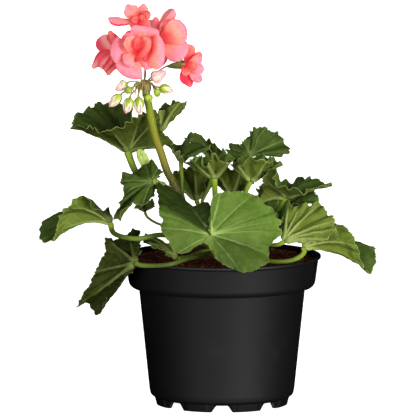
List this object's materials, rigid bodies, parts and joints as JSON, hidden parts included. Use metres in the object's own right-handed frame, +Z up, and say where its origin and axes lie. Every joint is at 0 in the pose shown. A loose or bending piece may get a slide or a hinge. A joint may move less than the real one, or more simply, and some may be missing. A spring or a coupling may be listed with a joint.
{
  "type": "potted zonal pelargonium",
  "caption": "A young zonal pelargonium with scalloped, pleated leaves and one umbel of salmon flowers, in a black nursery pot of peat",
  "frame": {"origin": "under the middle of the whole plant's bounding box, on the surface that the foot of the pot stands on; the pot's axis is 10.0 mm to +X and 2.2 mm to +Y of it", "axes": "+Z up along the pot's axis; -Y towards the viewer, the side that the open face of the umbel looks to; +X to the viewer's right"},
  "size_m": [0.2244, 0.1344, 0.2656],
  "materials": {
    "pot": "satin",
    "peat": "matte",
    "stem": "matte",
    "leaf": "matte",
    "stipule": "matte",
    "petal": "matte",
    "bud": "matte",
    "flower_stalk": "matte"
  },
  "bodies": {
    "root": {"pot": "pot", "soil": "peat", "stem": "stem", "leaf_upper_left": "leaf", "leaf_upper_back": "leaf", "leaf_mid_left": "leaf", "leaf_far_left": "leaf", "leaf_small_left": "leaf", "leaf_lower_left": "leaf", "leaf_front": "leaf", "leaf_centre": "leaf", "leaf_back_left": "leaf", "leaf_back_centre": "leaf", "leaf_upper_right": "leaf", "leaf_right_small": "leaf", "leaf_right": "leaf", "leaf_right_back": "leaf", "leaf_right_bright": "leaf", "leaf_far_right": "leaf", "leaf_low_back_left": "leaf", "leaf_low_back_right": "leaf", "leaf_right_low": "leaf", "leaf_young": "leaf", "leaf_soil_left": "leaf", "stipule": "stipule", "flower_front": "petal", "flower_right_back": "petal", "flower_top_left": "petal", "flower_left": "petal", "flower_right": "petal", "flower_back": "petal", "bud_upper_right": "bud", "bud_left": "bud", "bud_lower_left": "bud", "bud_hanging_left": "bud", "bud_hanging_right": "bud", "bud_right": "bud", "bud_green_left": "bud", "bud_green_middle": "bud", "bud_green_right": "bud", "flower_stalk": "flower_stalk"}
  },
  "joints": []
}
